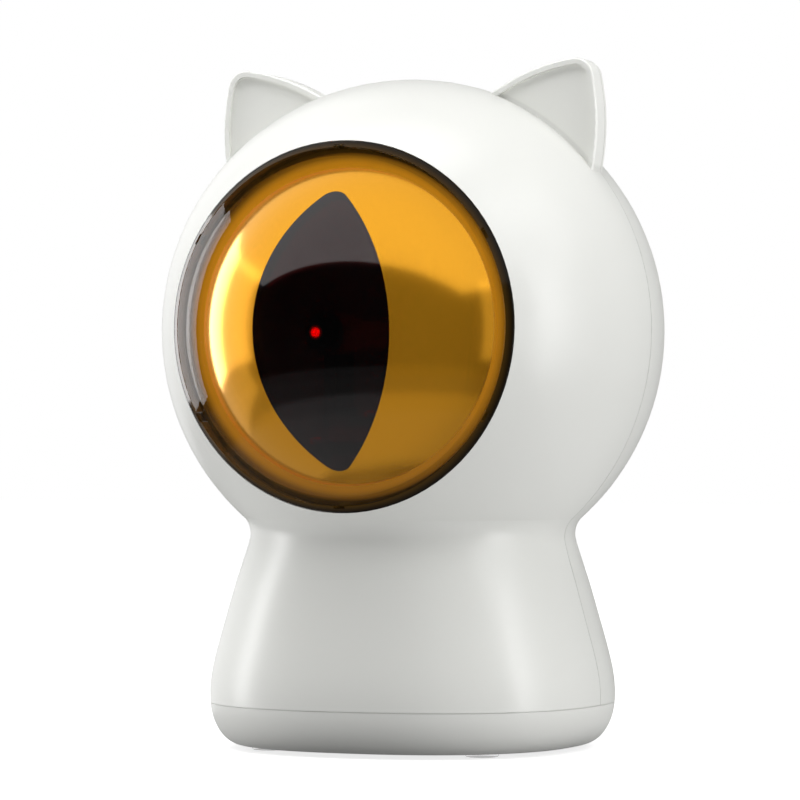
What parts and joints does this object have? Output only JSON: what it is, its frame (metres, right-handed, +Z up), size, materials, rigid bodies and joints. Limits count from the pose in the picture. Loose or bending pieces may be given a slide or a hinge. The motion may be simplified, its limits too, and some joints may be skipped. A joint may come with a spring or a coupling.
{
  "type": "cat laser toy",
  "caption": "Automatic cat laser toy: round cat-eared head with an amber eye, a motorised laser behind the slit pupil, and a flared base",
  "frame": {"origin": "centre of the plane that the feet rest on, under the middle of the head", "axes": "+Z up, the eye looks along -Y, +X is to the toy's left"},
  "size_m": [0.106, 0.106, 0.1437],
  "materials": {
    "shell_white": "satin moulded ABS",
    "base_white": "satin moulded ABS",
    "button_white": "satin moulded ABS",
    "eye_clear": "clear polished acrylic",
    "bezel_black": "black gloss",
    "iris_amber": "metallic amber under clear",
    "pupil_black": "smoked black gloss",
    "laser_red": "red, lit",
    "feet_rubber": "matt rubber",
    "screw_steel": "zinc plated",
    "motor_steel": "plated can",
    "brass": "turned",
    "contact_metal": "nickel plated spring strip",
    "inner_black": "moulded ABS",
    "gear_nylon": "natural acetal",
    "board_green": "solder mask",
    "chip_black": "epoxy",
    "radio_can": "tinned can",
    "cell_wrap": "plain sleeve",
    "socket_steel": "stainless",
    "light_pipe": "frosted"
  },
  "bodies": {
    "root": {"front_shell": "shell_white", "rear_shell": "shell_white", "base_cap": "base_white", "rubber_feet": "feet_rubber", "base_screws": "screw_steel", "top_contacts": "contact_metal", "battery_holder": "inner_black", "holder_screws": "screw_steel", "eye_dome": "eye_clear", "eye_bezel": "bezel_black", "bezel_screws": "screw_steel", "iris_dome": "iris_amber", "iris_retainer": "bezel_black", "pupil_window": "pupil_black", "mech_plate": "inner_black", "mech_screws": "screw_steel", "pan_motor": "motor_steel", "pan_motor_screws": "screw_steel", "main_board": "board_green", "board_parts": "chip_black", "radio_module": "radio_can", "board_screws": "screw_steel", "rear_board": "board_green", "rear_board_screws": "screw_steel", "usb_socket": "socket_steel", "tact_switch": "chip_black", "status_light": "light_pipe", "battery_cell_1": "cell_wrap", "battery_cell_2": "cell_wrap", "battery_cell_3": "cell_wrap", "battery_cell_4": "cell_wrap"},
    "battery_door": {"battery_door": "base_white", "door_contacts": "contact_metal"},
    "pan": {"pan_gear": "gear_nylon", "pan_washer": "screw_steel", "pan_screw": "screw_steel", "pan_yoke": "inner_black", "yoke_screws": "screw_steel", "tilt_motor": "motor_steel", "tilt_pin": "screw_steel"},
    "tilt": {"laser_cradle": "gear_nylon", "laser_module": "brass", "laser_lens": "laser_red"},
    "pan_pinion": {"pan_pinion": "brass"},
    "tilt_pinion": {"tilt_pinion": "brass"},
    "power_button": {"power_button": "button_white"}
  },
  "joints": [
    {"name": "laser_pan", "type": "hinge", "parent": "root", "child": "pan", "pos_m": [-0.0011, -0.00963, 0.066], "axis": [0, 0, 1], "range_deg": [-20, 20]},
    {"name": "laser_tilt", "type": "hinge", "parent": "pan", "child": "tilt", "pos_m": [-0.0011, -0.00963, 0.0861], "axis": [1, 0, 0], "range_deg": [-10, 35]},
    {"name": "pan_pinion_spin", "type": "hinge", "parent": "root", "child": "pan_pinion", "pos_m": [-0.0011, 0.01137, 0.066], "axis": [0, 0, 1], "range_deg": [-130, 130]},
    {"name": "tilt_pinion_spin", "type": "hinge", "parent": "pan", "child": "tilt_pinion", "pos_m": [-0.0066, 0.00537, 0.0861], "axis": [1, 0, 0], "range_deg": [-150, 50]},
    {"name": "button_press", "type": "slide", "parent": "root", "child": "power_button", "axis": [0, -1, 0], "range_m": [0, 0.0004], "stiffness_N_per_m": 400},
    {"name": "battery_door_hinge", "type": "hinge", "parent": "root", "child": "battery_door", "pos_m": [0, 0.01145, 0.0018], "axis": [1, 0, 0], "range_deg": [0, 80]}
  ],
  "couplings": [
    {"joint": "pan_pinion_spin", "follows": "laser_pan", "ratio": -6},
    {"joint": "tilt_pinion_spin", "follows": "laser_tilt", "ratio": -4}
  ]
}
